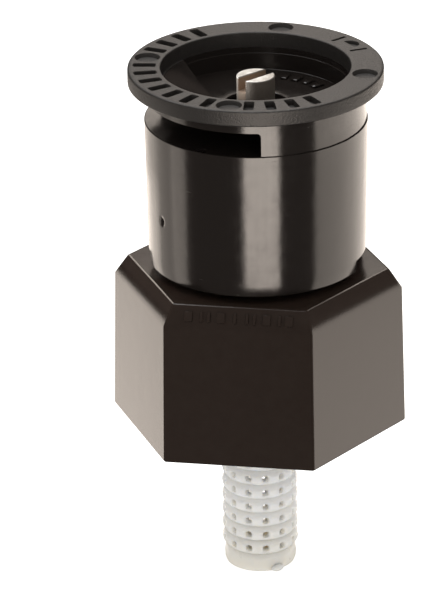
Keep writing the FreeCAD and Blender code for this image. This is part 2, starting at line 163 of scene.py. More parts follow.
def rounded_outline(corners):
    """Points of a turned outline from corners given as (radius, height) or (radius, height, rounding)."""
    points = []
    for index, corner in enumerate(corners):
        here = Vector(corner[:2])
        if len(corner) == 2:
            points.append(here)
            continue
        reach = corner[2]
        before = (Vector(corners[index - 1][:2]) - here).normalized() * reach
        after = (Vector(corners[(index + 1) % len(corners)][:2]) - here).normalized() * reach
        for part in (0.0, 1 / 3, 2 / 3, 1.0):
            points.append(here + before * (1 - part) ** 2 + after * part ** 2)
    return points


def ladder(low, high, rise):
    """Evenly spaced corners on the straight line between two corners, both ends left out."""
    count = max(2, round(abs(high[1] - low[1]) / rise))
    return [tuple(Vector(low).lerp(Vector(high), k / count)) for k in range(1, count)]


def lathe(bm, corners, first=-float(WINDOW_HALF), last=360.0 - WINDOW_HALF, closed=False, steps=None):
    """Turn an outline about Z from one angle to another, in degrees."""
    verts = [bm.verts.new((point.x, 0.0, point.y)) for point in rounded_outline(corners)]
    edges = [bm.edges.new(pair) for pair in zip(verts, verts[1:])]
    if closed:
        edges.append(bm.edges.new((verts[-1], verts[0])))
    bmesh.ops.rotate(bm, verts=verts, cent=AXIS_POINT, matrix=Matrix.Rotation(math.radians(first), 3, "Z"))
    sweep = last - first
    bmesh.ops.spin(
        bm, geom=verts + edges, cent=AXIS_POINT, axis=(0, 0, 1), dvec=(0, 0, 0), angle=math.radians(sweep),
        steps=steps or max(1, round(sweep / TURN_STEP)), use_merge=abs(sweep - 360) < 0.01,
        use_duplicate=False)


def weld(bm):
    bmesh.ops.remove_doubles(bm, verts=bm.verts[:], dist=MERGE)


def open_edges(bm, test=lambda vert: True):
    """Edges with one face, whose ends both pass the test."""
    return [edge for edge in bm.edges if edge.is_boundary and all(test(vert) for vert in edge.verts)]


def fill_gaps(bm, test=lambda vert: True):
    """Close each flat gap whose rim passes the test."""
    bmesh.ops.holes_fill(bm, edges=open_edges(bm, test), sides=0)


def fill_level(bm, level):
    """Close the flat face at a level between its outer rim and every rim inside it."""
    rims = open_edges(bm, lambda vert: abs(vert.co.z - level) < 0.002)
    bmesh.ops.triangle_fill(bm, edges=rims, use_beauty=True, use_dissolve=False, normal=(0, 0, 1))


def radius_of(vert):
    return math.hypot(vert.co.x, vert.co.y)


def set_radius(vert, radius):
    factor = radius / radius_of(vert)
    vert.co.x *= factor
    vert.co.y *= factor


def clamp(number, low=0.0, high=1.0):
    return max(low, min(high, number))


def cut_thread(bm, low, high, reach, crest, depth, pitch, groove, inward, run_out=False):
    """Press a right-hand thread into the wall between two heights.

    reach is the span of radii that the wall has, crest gives its radius at a height, and groove is the
    height of a groove's middle on +X. With run_out, the groove fades over its last turn.
    """
    for vert in bm.verts:
        radius = radius_of(vert)
        height = vert.co.z
        if not (low <= height <= high and reach[0] <= radius <= reach[1]):
            continue
        place = (height - groove) / pitch - math.atan2(vert.co.y, vert.co.x) / math.tau
        away = abs(place - round(place)) * 2
        cut = depth * clamp((0.80 - away) / 0.62)
        if run_out:
            cut *= clamp((high - height) / pitch) ** 0.5
        if inward:
            set_radius(vert, min(radius, crest(height) - cut))
        else:
            set_radius(vert, max(radius, crest(height) + cut))


def turn(bm, degrees, verts=None):
    bmesh.ops.rotate(bm, verts=verts or bm.verts[:], cent=AXIS_POINT,
                     matrix=Matrix.Rotation(math.radians(degrees), 3, "Z"))


def shift(bm, verts, x=0.0, y=0.0, z=0.0):
    bmesh.ops.translate(bm, verts=verts, vec=(x, y, z))


def finish_piece(name, bm, body, material, nodes=(), weighted=True):
    """Weld a piece, turn its faces outwards, make it metres and hang it on its body."""
    weld(bm)
    bmesh.ops.recalc_face_normals(bm, faces=bm.faces[:])
    bmesh.ops.scale(bm, vec=(MM, MM, MM), verts=bm.verts[:])
    for face in bm.faces:
        face.smooth = True
    for edge in bm.edges:
        edge.smooth = len(edge.link_faces) == 2 and edge.calc_face_angle(0.0) < SHARP_ANGLE
    mesh = bpy.data.meshes.new(name)
    bm.to_mesh(mesh)
    bm.free()
    piece = bpy.data.objects.new(name, mesh)
    bpy.context.scene.collection.objects.link(piece)
    mesh.materials.append(material)
    if weighted:
        normals = piece.modifiers.new("even_normals", "WEIGHTED_NORMAL")
        normals.keep_sharp = True
    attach(piece, body)
    if nodes:
        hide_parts(*nodes)
    return piece


def pocket(bm, face, depth, rim=0.08, draft=0.05):
    """Sink a flat face that looks up: rounded rim, drafted wall and a floor. The rim's loop stays open."""
    centre = face.calc_center_median()
    for drop, inset in ((rim * 0.3, rim * 0.3), (rim * 0.7, rim * 0.4), (depth - rim, draft)):
        made = bmesh.ops.extrude_face_region(bm, geom=[face])["geom"]
        if face.is_valid:
            bmesh.ops.delete(bm, geom=[face], context="FACES_ONLY")
        face = next(item for item in made if isinstance(item, bmesh.types.BMFace))
        ring = list(face.verts)
        shift(bm, ring, z=-drop)
        for vert in ring:
            vert.co -= Vector((vert.co.x - centre.x, vert.co.y - centre.y, 0)).normalized() * inset


def rounded_bar(bm, length, width, corner, x, level, angle):
    """Flat rounded rectangle that lies along a radius at distance x, turned to an angle."""
    square = bmesh.ops.create_grid(bm, x_segments=1, y_segments=1, size=0.5)["verts"]
    bmesh.ops.scale(bm, vec=(length, width, 1), verts=square)
    bmesh.ops.bevel(bm, geom=square, offset=corner, offset_type="OFFSET", segments=3, profile=0.5,
                    affect="VERTICES", material=-1)
    return place_flat(bm, x, level, angle)


def place_flat(bm, x, level, angle):
    """Move the one face at height 0 to a distance x and a level, turned to an angle and looking up."""
    face = next(item for item in bm.faces if max(abs(vert.co.z) for vert in item.verts) < 0.001)
    ring = list(face.verts)
    shift(bm, ring, x=x, z=level)
    turn(bm, angle, ring)
    face.normal_update()
    if face.normal.z < 0:
        face.normal_flip()
    return face


# ---------------------------------------------------------------- pieces

def hex_block(bm, edge_rounding=0.22):
    """Drafted hexagon with its bevelled shoulder and rounded edges, left open above and below."""
    foot = bmesh.ops.create_circle(bm, cap_ends=True, radius=HEX_FOOT, segments=6)["verts"]
    turn(bm, 90, foot)
    face = bm.faces[:][0]
    radius = HEX_FOOT
    level = 0.0
    for next_level, next_radius in ((HEX_SHOULDER, HEX_SHOULDER_RADIUS), (HEX_TOP, HEX_TOP_RADIUS)):
        made = bmesh.ops.extrude_face_region(bm, geom=[face])["geom"]
        face = next(item for item in made if isinstance(item, bmesh.types.BMFace))
        ring = list(face.verts)
        shift(bm, ring, z=next_level - level)
        bmesh.ops.scale(bm, vec=(next_radius / radius, next_radius / radius, 1), verts=ring)
        level, radius = next_level, next_radius
    bmesh.ops.recalc_face_normals(bm, faces=bm.faces[:])
    bmesh.ops.bevel(bm, geom=bm.edges[:], offset=edge_rounding, offset_type="OFFSET", segments=3, profile=0.5,
                    affect="EDGES", material=-1)
    ends = [face for face in bm.faces if abs(face.normal.z) > 0.999]
    bmesh.ops.delete(bm, geom=ends, context="FACES_ONLY")


def inlet_crest(height):
    """Radius of the pipe thread's crest, which closes in as it rises."""
    closing = (INLET_MOUTH_RADIUS - INLET_END_RADIUS) / (INLET_END - INLET_MOUTH)
    return INLET_MOUTH_RADIUS - closing * (height - INLET_MOUTH)


def riser_adapter(material):
    bm = bmesh.new()
    hex_block(bm)
    fine = NECK_PITCH / 10
    coarse = INLET_PITCH / 12
    thread_foot = (NECK_RADIUS, NECK_RELIEF_TOP)
    taper_foot = (NECK_RADIUS, NECK_TAPER_FOOT)
    neck_end = (NECK_END_RADIUS, NECK_TOP)
    inlet_end = (INLET_END_RADIUS, INLET_END)
    inlet_mouth = (INLET_MOUTH_RADIUS, INLET_MOUTH)
    foot = (INLET_CHAMFER_RADIUS, 0.0)
    lathe(bm, [
        (NECK_RELIEF_RADIUS, HEX_TOP), (NECK_RELIEF_RADIUS, NECK_RELIEF_TOP), thread_foot,
        *ladder(thread_foot, taper_foot, fine), taper_foot,
        *ladder(taper_foot, neck_end, fine), neck_end,
        (ADAPTER_BORE, NECK_TOP, 0.20), (ADAPTER_BORE, INLET_ROOF, 0.15), (INLET_END_RADIUS, INLET_ROOF),
        inlet_end, *ladder(inlet_end, inlet_mouth, coarse), inlet_mouth,
        *ladder(inlet_mouth, foot, coarse), foot,
    ])
    weld(bm)
    cut_thread(bm, NECK_RELIEF_TOP + 0.01, NECK_TOP, (NECK_END_RADIUS - 0.01, NECK_RADIUS + 0.01),
               lambda height: NECK_RADIUS, NECK_GROOVE_DEPTH, NECK_PITCH, NECK_GROOVE, True)
    cut_thread(bm, 0.05, INLET_END - 0.05, (INLET_END_RADIUS - 0.05, INLET_CHAMFER_RADIUS - 0.01),
               inlet_crest, INLET_GROOVE_DEPTH, INLET_PITCH, INLET_GROOVE, False, run_out=True)
    fill_level(bm, HEX_TOP)
    fill_level(bm, 0.0)
    return finish_piece("adapter_moulding", bm, "adapter", material, ["riser_adapter"])


def adapter_marks(material):
    """Row of low raised bars along the front bevel, in place of lettering."""
    bm = bmesh.new()
    shoulder = HEX_SHOULDER_RADIUS * math.cos(math.radians(30))
    rim = HEX_TOP_RADIUS * math.cos(math.radians(30))
    slope = math.atan2(shoulder - rim, HEX_TOP - HEX_SHOULDER)
    tall = 1.15
    for place, wide in MARK_ROW:
        box = bmesh.ops.create_cube(bm, size=1.0)["verts"]
        bmesh.ops.scale(bm, vec=(wide, 0.34, tall), verts=box)
        edges = list({edge for vert in box for edge in vert.link_edges})
        made = bmesh.ops.bevel(bm, geom=edges, offset=0.09, offset_type="OFFSET", segments=2, profile=0.5,
                               affect="EDGES", material=-1)
        shape = list({vert for face in made["faces"] for vert in face.verts})
        bmesh.ops.rotate(bm, verts=shape, cent=AXIS_POINT, matrix=Matrix.Rotation(-slope, 3, "X"))
        shift(bm, shape, x=place, y=-(shoulder + rim) / 2 - 0.02, z=(HEX_SHOULDER + HEX_TOP) / 2)
    return finish_piece("adapter_marks", bm, "adapter", material)


def skirt_outside(height):
    return RIM_RADIUS + (SEAM_RADIUS - RIM_RADIUS) * (height - BASE_RIM) / (SEAM - BASE_RIM)


def base_outline(rib, notched):
    """Section of the nozzle base, through a rib or between two, and through a rim notch or beside one."""
    notch_top = BASE_RIM + 1.25
    rib_foot = 21.50
    roof = 32.20
    seat_radius, seat_level = 4.60, 30.60
    orifice_radius = 3.00

    def inside(height):
        return skirt_outside(height) - SKIRT_WALL

    rim = [] if notched else [(inside(BASE_RIM), BASE_RIM, 0.10), (skirt_outside(BASE_RIM), BASE_RIM, 0.16)]
    pocket_roof = [] if rib else [(SLEEVE_OUTSIDE, roof), (inside(roof), roof)]
    rim_end = [] if notched else [(inside(notch_top), notch_top)]
    start = [(inside(notch_top), notch_top)] if notched else []
    dimple_low, dimple_high = DIMPLE_LEVEL - 1.0, DIMPLE_LEVEL + 1.0
    return [
        *start, *rim,
        (skirt_outside(notch_top), notch_top),
        (skirt_outside(dimple_low), dimple_low),
        *ladder((skirt_outside(dimple_low), dimple_low), (skirt_outside(dimple_high), dimple_high), 0.1),
        (skirt_outside(dimple_high), dimple_high),
        (SEAM_RADIUS, SEAM, 0.10),
        (seat_radius, SEAM), (seat_radius, seat_level), (orifice_radius, seat_level),
        (orifice_radius, WEB_UNDER), (SLEEVE_RADIUS, WEB_UNDER),
        *ladder((SLEEVE_RADIUS, WEB_UNDER), (SLEEVE_RADIUS, SLEEVE_FOOT), NECK_PITCH / 10),
        (SLEEVE_RADIUS, SLEEVE_FOOT), (SLEEVE_OUTSIDE, SLEEVE_FOOT), (SLEEVE_OUTSIDE, rib_foot),
        *pocket_roof,
        (inside(rib_foot), rib_foot),
        *rim_end,
    ]


def nozzle_base(material):
    bm = bmesh.new()
    rib_half = 2.6
    notch_half = 19.0
    ribs = [60.0 * k for k in range(6)]
    notches = [141.6, 321.6]
    borders = {-DIMPLE_HALF, DIMPLE_HALF}
    for middle in ribs:
        borders |= {middle - rib_half, middle + rib_half}
    for middle in notches:
        borders |= {round(middle - notch_half, 2), round(middle + notch_half, 2)}
    borders = sorted({round(border % 360, 2) for border in borders})
    for first, last in zip(borders, borders[1:] + [borders[0] + 360]):
        middle = (first + last) / 2
        rib = any(abs((middle - place + 180) % 360 - 180) < rib_half for place in ribs)
        notched = any(abs((middle - place + 180) % 360 - 180) < notch_half for place in notches)
        near_dimple = abs((middle + 180) % 360 - 180) < DIMPLE_HALF
        steps = max(1, round((last - first) / (0.5 if near_dimple else TURN_STEP)))
        lathe(bm, base_outline(rib, notched), first, last, closed=True, steps=steps)
    weld(bm)
    fill_gaps(bm)
    groove = NECK_GROOVE + NECK_PITCH * (0.5 + CLOCKING / 360)
    cut_thread(bm, SLEEVE_FOOT - 0.01, WEB_UNDER - 0.02, (SLEEVE_RADIUS - 0.05, SLEEVE_RADIUS + 0.05),
               lambda height: SLEEVE_RADIUS, NECK_GROOVE_DEPTH, NECK_PITCH, groove, False, run_out=True)
    press_dimple(bm)
    ragged_seam(bm)
    turn(bm, CLOCKING)
    return finish_piece("base_moulding", bm, "nozzle", material, ["nozzle_base"])


def press_dimple(bm, wide=0.30, tall=0.36, depth=0.32):
    """Gate mark on the skirt: a small ragged pit on the side where the spray leaves."""
    for vert in bm.verts:
        angle = math.atan2(vert.co.y, vert.co.x)
        if vert.co.x < 11 or abs(angle) > 0.12 or abs(vert.co.z - DIMPLE_LEVEL) > 0.95:
            continue
        ragged = 1 + 0.5 * noise.noise(vert.co * 3.1)
        across = angle * vert.co.x / wide
        up = (vert.co.z - DIMPLE_LEVEL) / tall
        set_radius(vert, radius_of(vert) - depth * ragged * math.exp(-(across ** 2 + up ** 2)))


def ragged_seam(bm, swing=0.035):
    """Slightly uneven upper edge of the base, where the two mouldings are joined."""
    for vert in bm.verts:
        angle = abs(math.degrees(math.atan2(vert.co.y, vert.co.x)))
        if radius_of(vert) > 11.5 and vert.co.z > SEAM - 0.2 and angle > WINDOW_HALF - 3:
            vert.co.z += swing * noise.noise(vert.co * 1.3)
            set_radius(vert, radius_of(vert) + 0.6 * swing * (noise.noise(vert.co * 2.1) - 0.6))


def cap_outside(bm):
    """Hub bore, plug, wall and flange: one section beside the spray window, another through it."""
    flange = [
        (CAP_WALL, FLANGE_UNDER, 0.10), (FLANGE_RADIUS, FLANGE_UNDER, 0.16),
        (FLANGE_RADIUS, FLANGE_TOP, 0.20), (FLANGE_RADIUS - 0.4, FLANGE_TOP),
    ]
    hub = [(HUB_BORE, PIT_FLOOR), (HUB_BORE, PLUG_FOOT), (HUB_RADIUS, PLUG_FOOT)]
    wall = [(PLUG_RADIUS, PLUG_FOOT), (PLUG_RADIUS, SEAM), (CAP_WALL, SEAM), (CAP_WALL, WINDOW_TOP)]
    roof = [(HUB_RADIUS, ROOF_FOOT), (ROOF_EDGE, WINDOW_TOP), (CAP_WALL, WINDOW_TOP)]
    lathe(bm, [*hub, *wall, *flange], WINDOW_HALF, 360.0 - WINDOW_HALF)
    lathe(bm, [*hub, *roof, *flange], -WINDOW_HALF, WINDOW_HALF)
    weld(bm)

    def beside_window(vert):
        angle = math.degrees(math.atan2(vert.co.y, vert.co.x))
        return abs(abs(angle) - WINDOW_HALF) < 0.01

    def on_roof(vert):
        return beside_window(vert) and ROOF_FOOT - 0.01 < vert.co.z < WINDOW_TOP + 0.01

    fill_gaps(bm, lambda vert: beside_window(vert) and vert.co.z < WINDOW_TOP + 0.01)
    roof_ends = [edge for edge in bm.edges
                 if all(on_roof(vert) for vert in edge.verts) and edge.calc_face_angle(0.0) > 1.0]
    bmesh.ops.bevel(bm, geom=roof_ends, offset=0.45, offset_type="OFFSET", segments=4, profile=0.5,
                    affect="EDGES", material=-1)


def recess_shell(corners, keep_front):
    """One side of the recess: turned all round, then cut along the deflector's chord."""
    bm = bmesh.new()
    lathe(bm, corners)
    weld(bm)
    bmesh.ops.bisect_plane(bm, geom=bm.verts[:] + bm.edges[:] + bm.faces[:], dist=0.0001,
                           plane_co=(CHORD, 0, 0), plane_no=(1, 0, 0), clear_inner=keep_front,
                           clear_outer=not keep_front)
    mesh = bpy.data.meshes.new("recess_side")
    bm.to_mesh(mesh)
    bm.free()
    return mesh


def cap_inside(bm):
    """Hub pit, recess floor with its step, and the deflector's back beyond the chord."""
    rim = [(FLANGE_INNER, FLANGE_TOP, 0.16), (FLANGE_INNER + 0.35, FLANGE_TOP)]
    foot = 4.50
    back = recess_shell([(foot, RECESS_FLOOR), (FLANGE_INNER, RECESS_LIP), *rim], True)
    floor = recess_shell([
        (foot, RECESS_FLOOR), (RECESS_RADIUS, RECESS_FLOOR, 0.10), (RECESS_RADIUS, RECESS_STEP, 0.08),
        (FLANGE_INNER, RECESS_STEP), (FLANGE_INNER, RECESS_LIP), *rim,
    ], False)
    pit = [
        (HUB_BORE, PIT_FLOOR), (PIT_RADIUS, PIT_FLOOR, 0.10), (PIT_RADIUS, RECESS_FLOOR, 0.12),
        (foot, RECESS_FLOOR),
    ]
    for mesh in (back, floor, recess_shell(pit, True), recess_shell(pit, False)):
        bm.from_mesh(mesh)
        bpy.data.meshes.remove(mesh)
    weld(bm)
    fill_gaps(bm, lambda vert: abs(vert.co.x - CHORD) < 0.001)


def nozzle_cap(material):
    bm = bmesh.new()
    cap_outside(bm)
    cap_inside(bm)
    for angle in SLOT_ANGLES:
        slot = rounded_bar(bm, length=2.50, width=1.10, corner=0.26, x=SLOT_CIRCLE, level=FLANGE_TOP,
                           angle=angle)
        pocket(bm, slot, depth=0.62)
    for angle in (45, 135, 225, 315):
        bmesh.ops.create_circle(bm, cap_ends=True, radius=1.38, segments=28)
        pocket(bm, place_flat(bm, PIN_CIRCLE, FLANGE_TOP, angle), depth=0.42, draft=0.16)
    half_disc(bm)
    for swing in (-9.5, 9.5):
        bar = rounded_bar(bm, length=2.0, width=0.42, corner=0.12, x=11.95, level=FLANGE_TOP,
                          angle=180 + swing)
        pocket(bm, bar, depth=0.35, rim=0.05, draft=0.02)
    fill_level(bm, FLANGE_TOP)
    turn(bm, CLOCKING)
    return finish_piece("cap_moulding", bm, "nozzle", material, ["nozzle_cap"])


def half_disc(bm):
    """Half disc sunk opposite the spray: the sign of a half-circle pattern."""
    flat = bmesh.new()
    bmesh.ops.create_circle(flat, cap_ends=True, radius=1.05, segments=28)
    bmesh.ops.bisect_plane(flat, geom=flat.verts[:] + flat.edges[:] + flat.faces[:], dist=0.0001,
                           plane_co=(0.1, 0, 0), plane_no=(1, 0, 0), clear_outer=True)
    mesh = bpy.data.meshes.new("half_disc")
    flat.to_mesh(mesh)
    flat.free()
    bm.from_mesh(mesh)
    bpy.data.meshes.remove(mesh)
    pocket(bm, place_flat(bm, -PIN_CIRCLE, FLANGE_TOP, 0), depth=0.35)


def recess_marks(material):
    """Small raised pads on the recess floor, in place of lettering."""
    bm = bmesh.new()
    for angle in RECESS_MARKS:
        box = bmesh.ops.create_cube(bm, size=1.0)["verts"]
        bmesh.ops.scale(bm, vec=(1.5, 0.75, 0.5), verts=box)
        edges = list({edge for vert in box for edge in vert.link_edges})
        made = bmesh.ops.bevel(bm, geom=edges, offset=0.12, offset_type="OFFSET", segments=2, profile=0.5,
                               affect="EDGES", material=-1)
        shape = list({vert for face in made["faces"] for vert in face.verts})
        shift(bm, shape, x=8.0, z=RECESS_FLOOR)
        turn(bm, angle, shape)
    turn(bm, CLOCKING)
    return finish_piece("recess_marks", bm, "nozzle", material)


def flow_screw(material):
    """Slotted screw: the head's two halves rise from a disc at the slot's floor, the shank hangs below it."""
    radius = 2.05
    tip_radius = 0.9
    shank_foot = 31.0
    slot_floor = SCREW_TOP - 1.42
    bm = bmesh.new()
    bmesh.ops.create_circle(bm, cap_ends=True, radius=radius, segments=72)
    shift(bm, bm.verts[:], z=slot_floor)
    for side in (-SCREW_SLOT_HALF, SCREW_SLOT_HALF):
        bmesh.ops.bisect_plane(bm, geom=bm.verts[:] + bm.edges[:] + bm.faces[:], dist=0.0001,
                               plane_co=(0, side, 0), plane_no=(0, 1, 0))
    rim = [edge for edge in bm.edges if edge.is_boundary]
    for drop, shrink in ((slot_floor - shank_foot, 1.0), (shank_foot - SCREW_TIP, tip_radius / radius)):
        made = bmesh.ops.extrude_edge_only(bm, edges=rim)["geom"]
        ring = [item for item in made if isinstance(item, bmesh.types.BMVert)]
        rim = [item for item in made if isinstance(item, bmesh.types.BMEdge)]
        shift(bm, ring, z=-drop)
        bmesh.ops.scale(bm, vec=(shrink, shrink, 1), verts=ring)
    bmesh.ops.contextual_create(bm, geom=rim)
    halves = [face for face in bm.faces
              if abs(face.calc_center_median().z - slot_floor) < 0.01
              and abs(face.calc_center_median().y) > SCREW_SLOT_HALF]
    for face in halves:
        made = bmesh.ops.extrude_face_region(bm, geom=[face])["geom"]
        if face.is_valid:
            bmesh.ops.delete(bm, geom=[face], context="FACES_ONLY")
        shift(bm, [item for item in made if isinstance(item, bmesh.types.BMVert)], z=SCREW_TOP - slot_floor)
    weld(bm)
    bmesh.ops.recalc_face_normals(bm, faces=bm.faces[:])
    sharp = [edge for edge in bm.edges
             if edge.calc_face_angle(0.0) > 0.6 and min(vert.co.z for vert in edge.verts) > SCREW_TOP - 0.01]
    bmesh.ops.bevel(bm, geom=sharp, offset=0.13, offset_type="OFFSET", segments=3, profile=0.5,
                    affect="EDGES", material=-1)
    turn(bm, SCREW_TURN)
    return finish_piece("slotted_screw", bm, "flow_screw", material, ["adjusting_screw"])


def basket_outline():
    """Closed section: up the bulged wall, round the flange, through the seat, and down the bore."""
    first_valley = BASKET_FOOT + FOOT_BAND
    rows = []
    for row in range(BASKET_ROWS):
        level = first_valley + row * ROW_PITCH
        rows.append((VALLEY_RADIUS, level))
        rows += [(radius, level + share * ROW_PITCH) for share, radius in ROW_CUTS]
    last_valley = first_valley + BASKET_ROWS * ROW_PITCH
    rows.append((VALLEY_RADIUS, last_valley))
    flange_radius = 6.85
    seat_radius = 1.70
    edge_break = 0.14
    under = BASKET_TOP - 1.18
    floor_level = BASKET_FOOT + 0.90
    outside = [
        (0.0, BASKET_FOOT), (2.6, BASKET_FOOT), (3.75, BASKET_FOOT), (4.00, BASKET_FOOT + 0.22),
        (4.00, first_valley - 0.28), *rows, (4.02, last_valley + 0.30), (4.04, under - 0.20), (4.04, under),
        (4.24, under), (6.68, under), (flange_radius, under + edge_break),
        (flange_radius, BASKET_TOP - edge_break), (flange_radius - edge_break, BASKET_TOP),
    ]
    seat = [
        (1.86, BASKET_TOP), (seat_radius, BASKET_TOP - edge_break), (seat_radius, under + 0.10),
        (1.84, under), (2.84, under),
    ]
    bore = [(BASKET_BORE, height) for radius, height in reversed(rows)]
    end = [(BASKET_BORE, floor_level + 0.20), (2.80, floor_level), (0.0, floor_level)]
    return outside + seat + [(BASKET_BORE, under - 0.20)] + bore + end


def filter_basket(material):
    bm = bmesh.new()
    verts = [bm.verts.new((radius, 0.0, height)) for radius, height in basket_outline()]
    last = verts + [bm.edges.new(pair) for pair in zip(verts, verts[1:])]
    column = 360 / BASKET_COLUMNS
    turn(bm, BASKET_CLOCKING, verts)
    for _ in range(BASKET_COLUMNS):
        for begin, end in zip(COLUMN_CUTS, COLUMN_CUTS[1:]):
            last = bmesh.ops.spin(bm, geom=last, cent=AXIS_POINT, axis=(0, 0, 1), dvec=(0, 0, 0),
                                  angle=math.radians(column * (end - begin)), steps=1, use_merge=False,
                                  use_duplicate=False)["geom_last"]
    weld(bm)
    open_basket(bm, column)
    crease = bm.edges.layers.float.new("crease_edge")
    for edge in bm.edges:
        if all(abs(radius_of(vert) - VALLEY_RADIUS) < 0.01 for vert in edge.verts):
            edge[crease] = 0.9
    piece = finish_piece("filter_basket", bm, "filter", material, ["filter_screen"],
                         weighted=False)
    rounding = piece.modifiers.new("soft_bulges", "SUBSURF")
    rounding.levels = 1
    rounding.render_levels = 1
    return piece


def open_basket(bm, column):
    """Cut one square opening through the wall in each cell."""
    cells = {}
    for face in bm.faces:
        middle = face.calc_center_median()
        radius = math.hypot(middle.x, middle.y)
        along = (math.degrees(math.atan2(middle.y, middle.x)) - BASKET_CLOCKING) % 360 / column
        up = (middle.z - BASKET_FOOT - FOOT_BAND) / ROW_PITCH
        in_cell = 0.32 < along % 1 < 0.68 and 0.32 < up % 1 < 0.68 and 0 < up < BASKET_ROWS
        if in_cell and radius < BULGE_LIMIT:
            cells.setdefault((int(along), int(up)), []).append(face)
    for faces in cells.values():
        rims = [edge for face in faces for edge in face.edges]
        bmesh.ops.delete(bm, geom=faces, context="FACES_ONLY")
        bmesh.ops.bridge_loops(bm, edges=rims)


def basket_nub(material):
    """Gate nub on the foot of the basket."""
    bm = bmesh.new()
    bmesh.ops.create_uvsphere(bm, u_segments=20, v_segments=12, radius=0.5)
    bmesh.ops.scale(bm, vec=(0.9, 1.5, 0.90), verts=bm.verts[:])
    shift(bm, bm.verts[:], x=3.98, z=BASKET_FOOT + 0.46)
    turn(bm, -53)
    return finish_piece("basket_nub", bm, "filter", material, weighted=False)


# ---------------------------------------------------------------- finishes

def new_node(tree, kind, inputs=None, **settings):
    node = tree.nodes.new("ShaderNode" + kind)
    for name, setting in settings.items():
        setattr(node, name, setting)
    for name, given in (inputs or {}).items():
        socket = node.inputs[name]
        if isinstance(given, bpy.types.NodeSocket):
            tree.links.new(given, socket)
        else:
            socket.default_value = given
    return node


def new_group(name, inputs, outputs):
    """Empty node group with float inputs and the given outputs."""
    tree = bpy.data.node_groups.new(name, "ShaderNodeTree")
    for label in inputs:
        tree.interface.new_socket(label, in_out="INPUT", socket_type="NodeSocketFloat")
    for label, kind in outputs.items():
        tree.interface.new_socket(label, in_out="OUTPUT", socket_type="NodeSocket" + kind)
    return tree, tree.nodes.new("NodeGroupInput"), tree.nodes.new("NodeGroupOutput")


def moulded_skin():
    """Skin of a moulding: fine grain, slow ripples, and patches where the gloss differs."""
    tree, given, result = new_group("moulded_skin", ("Grain", "Ripple"),
                                    {"Patches": "Float", "Normal": "Vector"})
    place = new_node(tree, "TexCoord").outputs["Object"]
    grain = new_node(tree, "TexNoise", {"Vector": place, "Scale": 5200.0, "Detail": 2.0, "Roughness": 0.6})
    ripple = new_node(tree, "TexNoise", {"Vector": place, "Scale": 420.0, "Detail": 1.0, "Roughness": 0.4})
    patches = new_node(tree, "TexNoise", {"Vector": place, "Scale": 900.0, "Detail": 4.0, "Roughness": 0.6})
    wide = new_node(tree, "Bump", {"Height": ripple.outputs["Fac"], "Strength": given.outputs["Ripple"],
                                   "Distance": 0.0002})
    fine = new_node(tree, "Bump", {"Height": grain.outputs["Fac"], "Strength": given.outputs["Grain"],
                                   "Distance": 0.00006, "Normal": wide.outputs["Normal"]})
    spread = new_node(tree, "MapRange", {"Value": patches.outputs["Fac"], "From Min": 0.3, "From Max": 0.7})
    tree.links.new(spread.outputs["Result"], result.inputs["Patches"])
    tree.links.new(fine.outputs["Normal"], result.inputs["Normal"])
    return tree


def draw_marks():
    """Faint streaks along the way that a moulding left its mould, and a few finer scuffs across them."""
    tree, given, result = new_group("draw_marks", ("Amount",), {"Streaks": "Float"})
    place = new_node(tree, "TexCoord").outputs["Object"]
    along = new_node(tree, "Mapping", {"Vector": place, "Scale": (2600.0, 2600.0, 90.0)})
    streak = new_node(tree, "TexNoise", {"Vector": along.outputs["Vector"], "Scale": 1.0, "Detail": 3.0})
    across = new_node(tree, "Mapping", {"Vector": place, "Scale": (300.0, 300.0, 6000.0),
                                        "Rotation": (0.05, 0.08, 0.0)})
    scuff = new_node(tree, "TexNoise", {"Vector": across.outputs["Vector"], "Scale": 1.0, "Detail": 2.0})
    thin = new_node(tree, "MapRange", {"Value": scuff.outputs["Fac"], "From Min": 0.62, "From Max": 0.78})
    total = new_node(tree, "Math", {0: streak.outputs["Fac"], 1: thin.outputs["Result"]}, operation="ADD")
    scaled = new_node(tree, "Math", {0: total.outputs["Value"], 1: given.outputs["Amount"]},
                      operation="MULTIPLY")
    tree.links.new(scaled.outputs["Value"], result.inputs["Streaks"])
    return tree


def new_material(name):
    material = bpy.data.materials.new(name)
    material.use_nodes = True
    return material, material.node_tree, material.node_tree.nodes["Principled BSDF"]


def place_group(tree, group, **values):
    node = tree.nodes.new("ShaderNodeGroup")
    node.node_tree = group
    for name, given in values.items():
        node.inputs[name].default_value = given
    return node


def height_mask(tree, level, soft=0.05):
    """1 above a level in millimetres, 0 below it."""
    place = new_node(tree, "TexCoord").outputs["Object"]
    height = new_node(tree, "SeparateXYZ", {"Vector": place}).outputs["Z"]
    return new_node(tree, "MapRange", {"Value": height, "From Min": (level - soft) * MM,
                                       "From Max": (level + soft) * MM}).outputs["Result"]


def mixed_tone(tree, factor, dark, light):
    mix = new_node(tree, "MixRGB", {"Fac": factor, "Color1": (*dark, 1), "Color2": (*light, 1)})
    return mix.outputs["Color"]


def adapter_plastic(skin, streaks):
    """Satin brown-black."""
    material, tree, shader = new_material("adapter_satin")
    surface = place_group(tree, skin, Grain=0.10, Ripple=0.04)
    marks = place_group(tree, streaks, Amount=0.02)
    tone = mixed_tone(tree, surface.outputs["Patches"], (0.0200, 0.0130, 0.0100), (0.0225, 0.0150, 0.0115))
    rough = new_node(tree, "MapRange", {"Value": surface.outputs["Patches"], "To Min": 0.20, "To Max": 0.22})
    total = new_node(tree, "Math", {0: rough.outputs["Result"], 1: marks.outputs["Streaks"]}, operation="ADD")
    tree.links.new(tone, shader.inputs["Base Color"])
    tree.links.new(total.outputs["Value"], shader.inputs["Roughness"])
    tree.links.new(surface.outputs["Normal"], shader.inputs["Normal"])
    return material


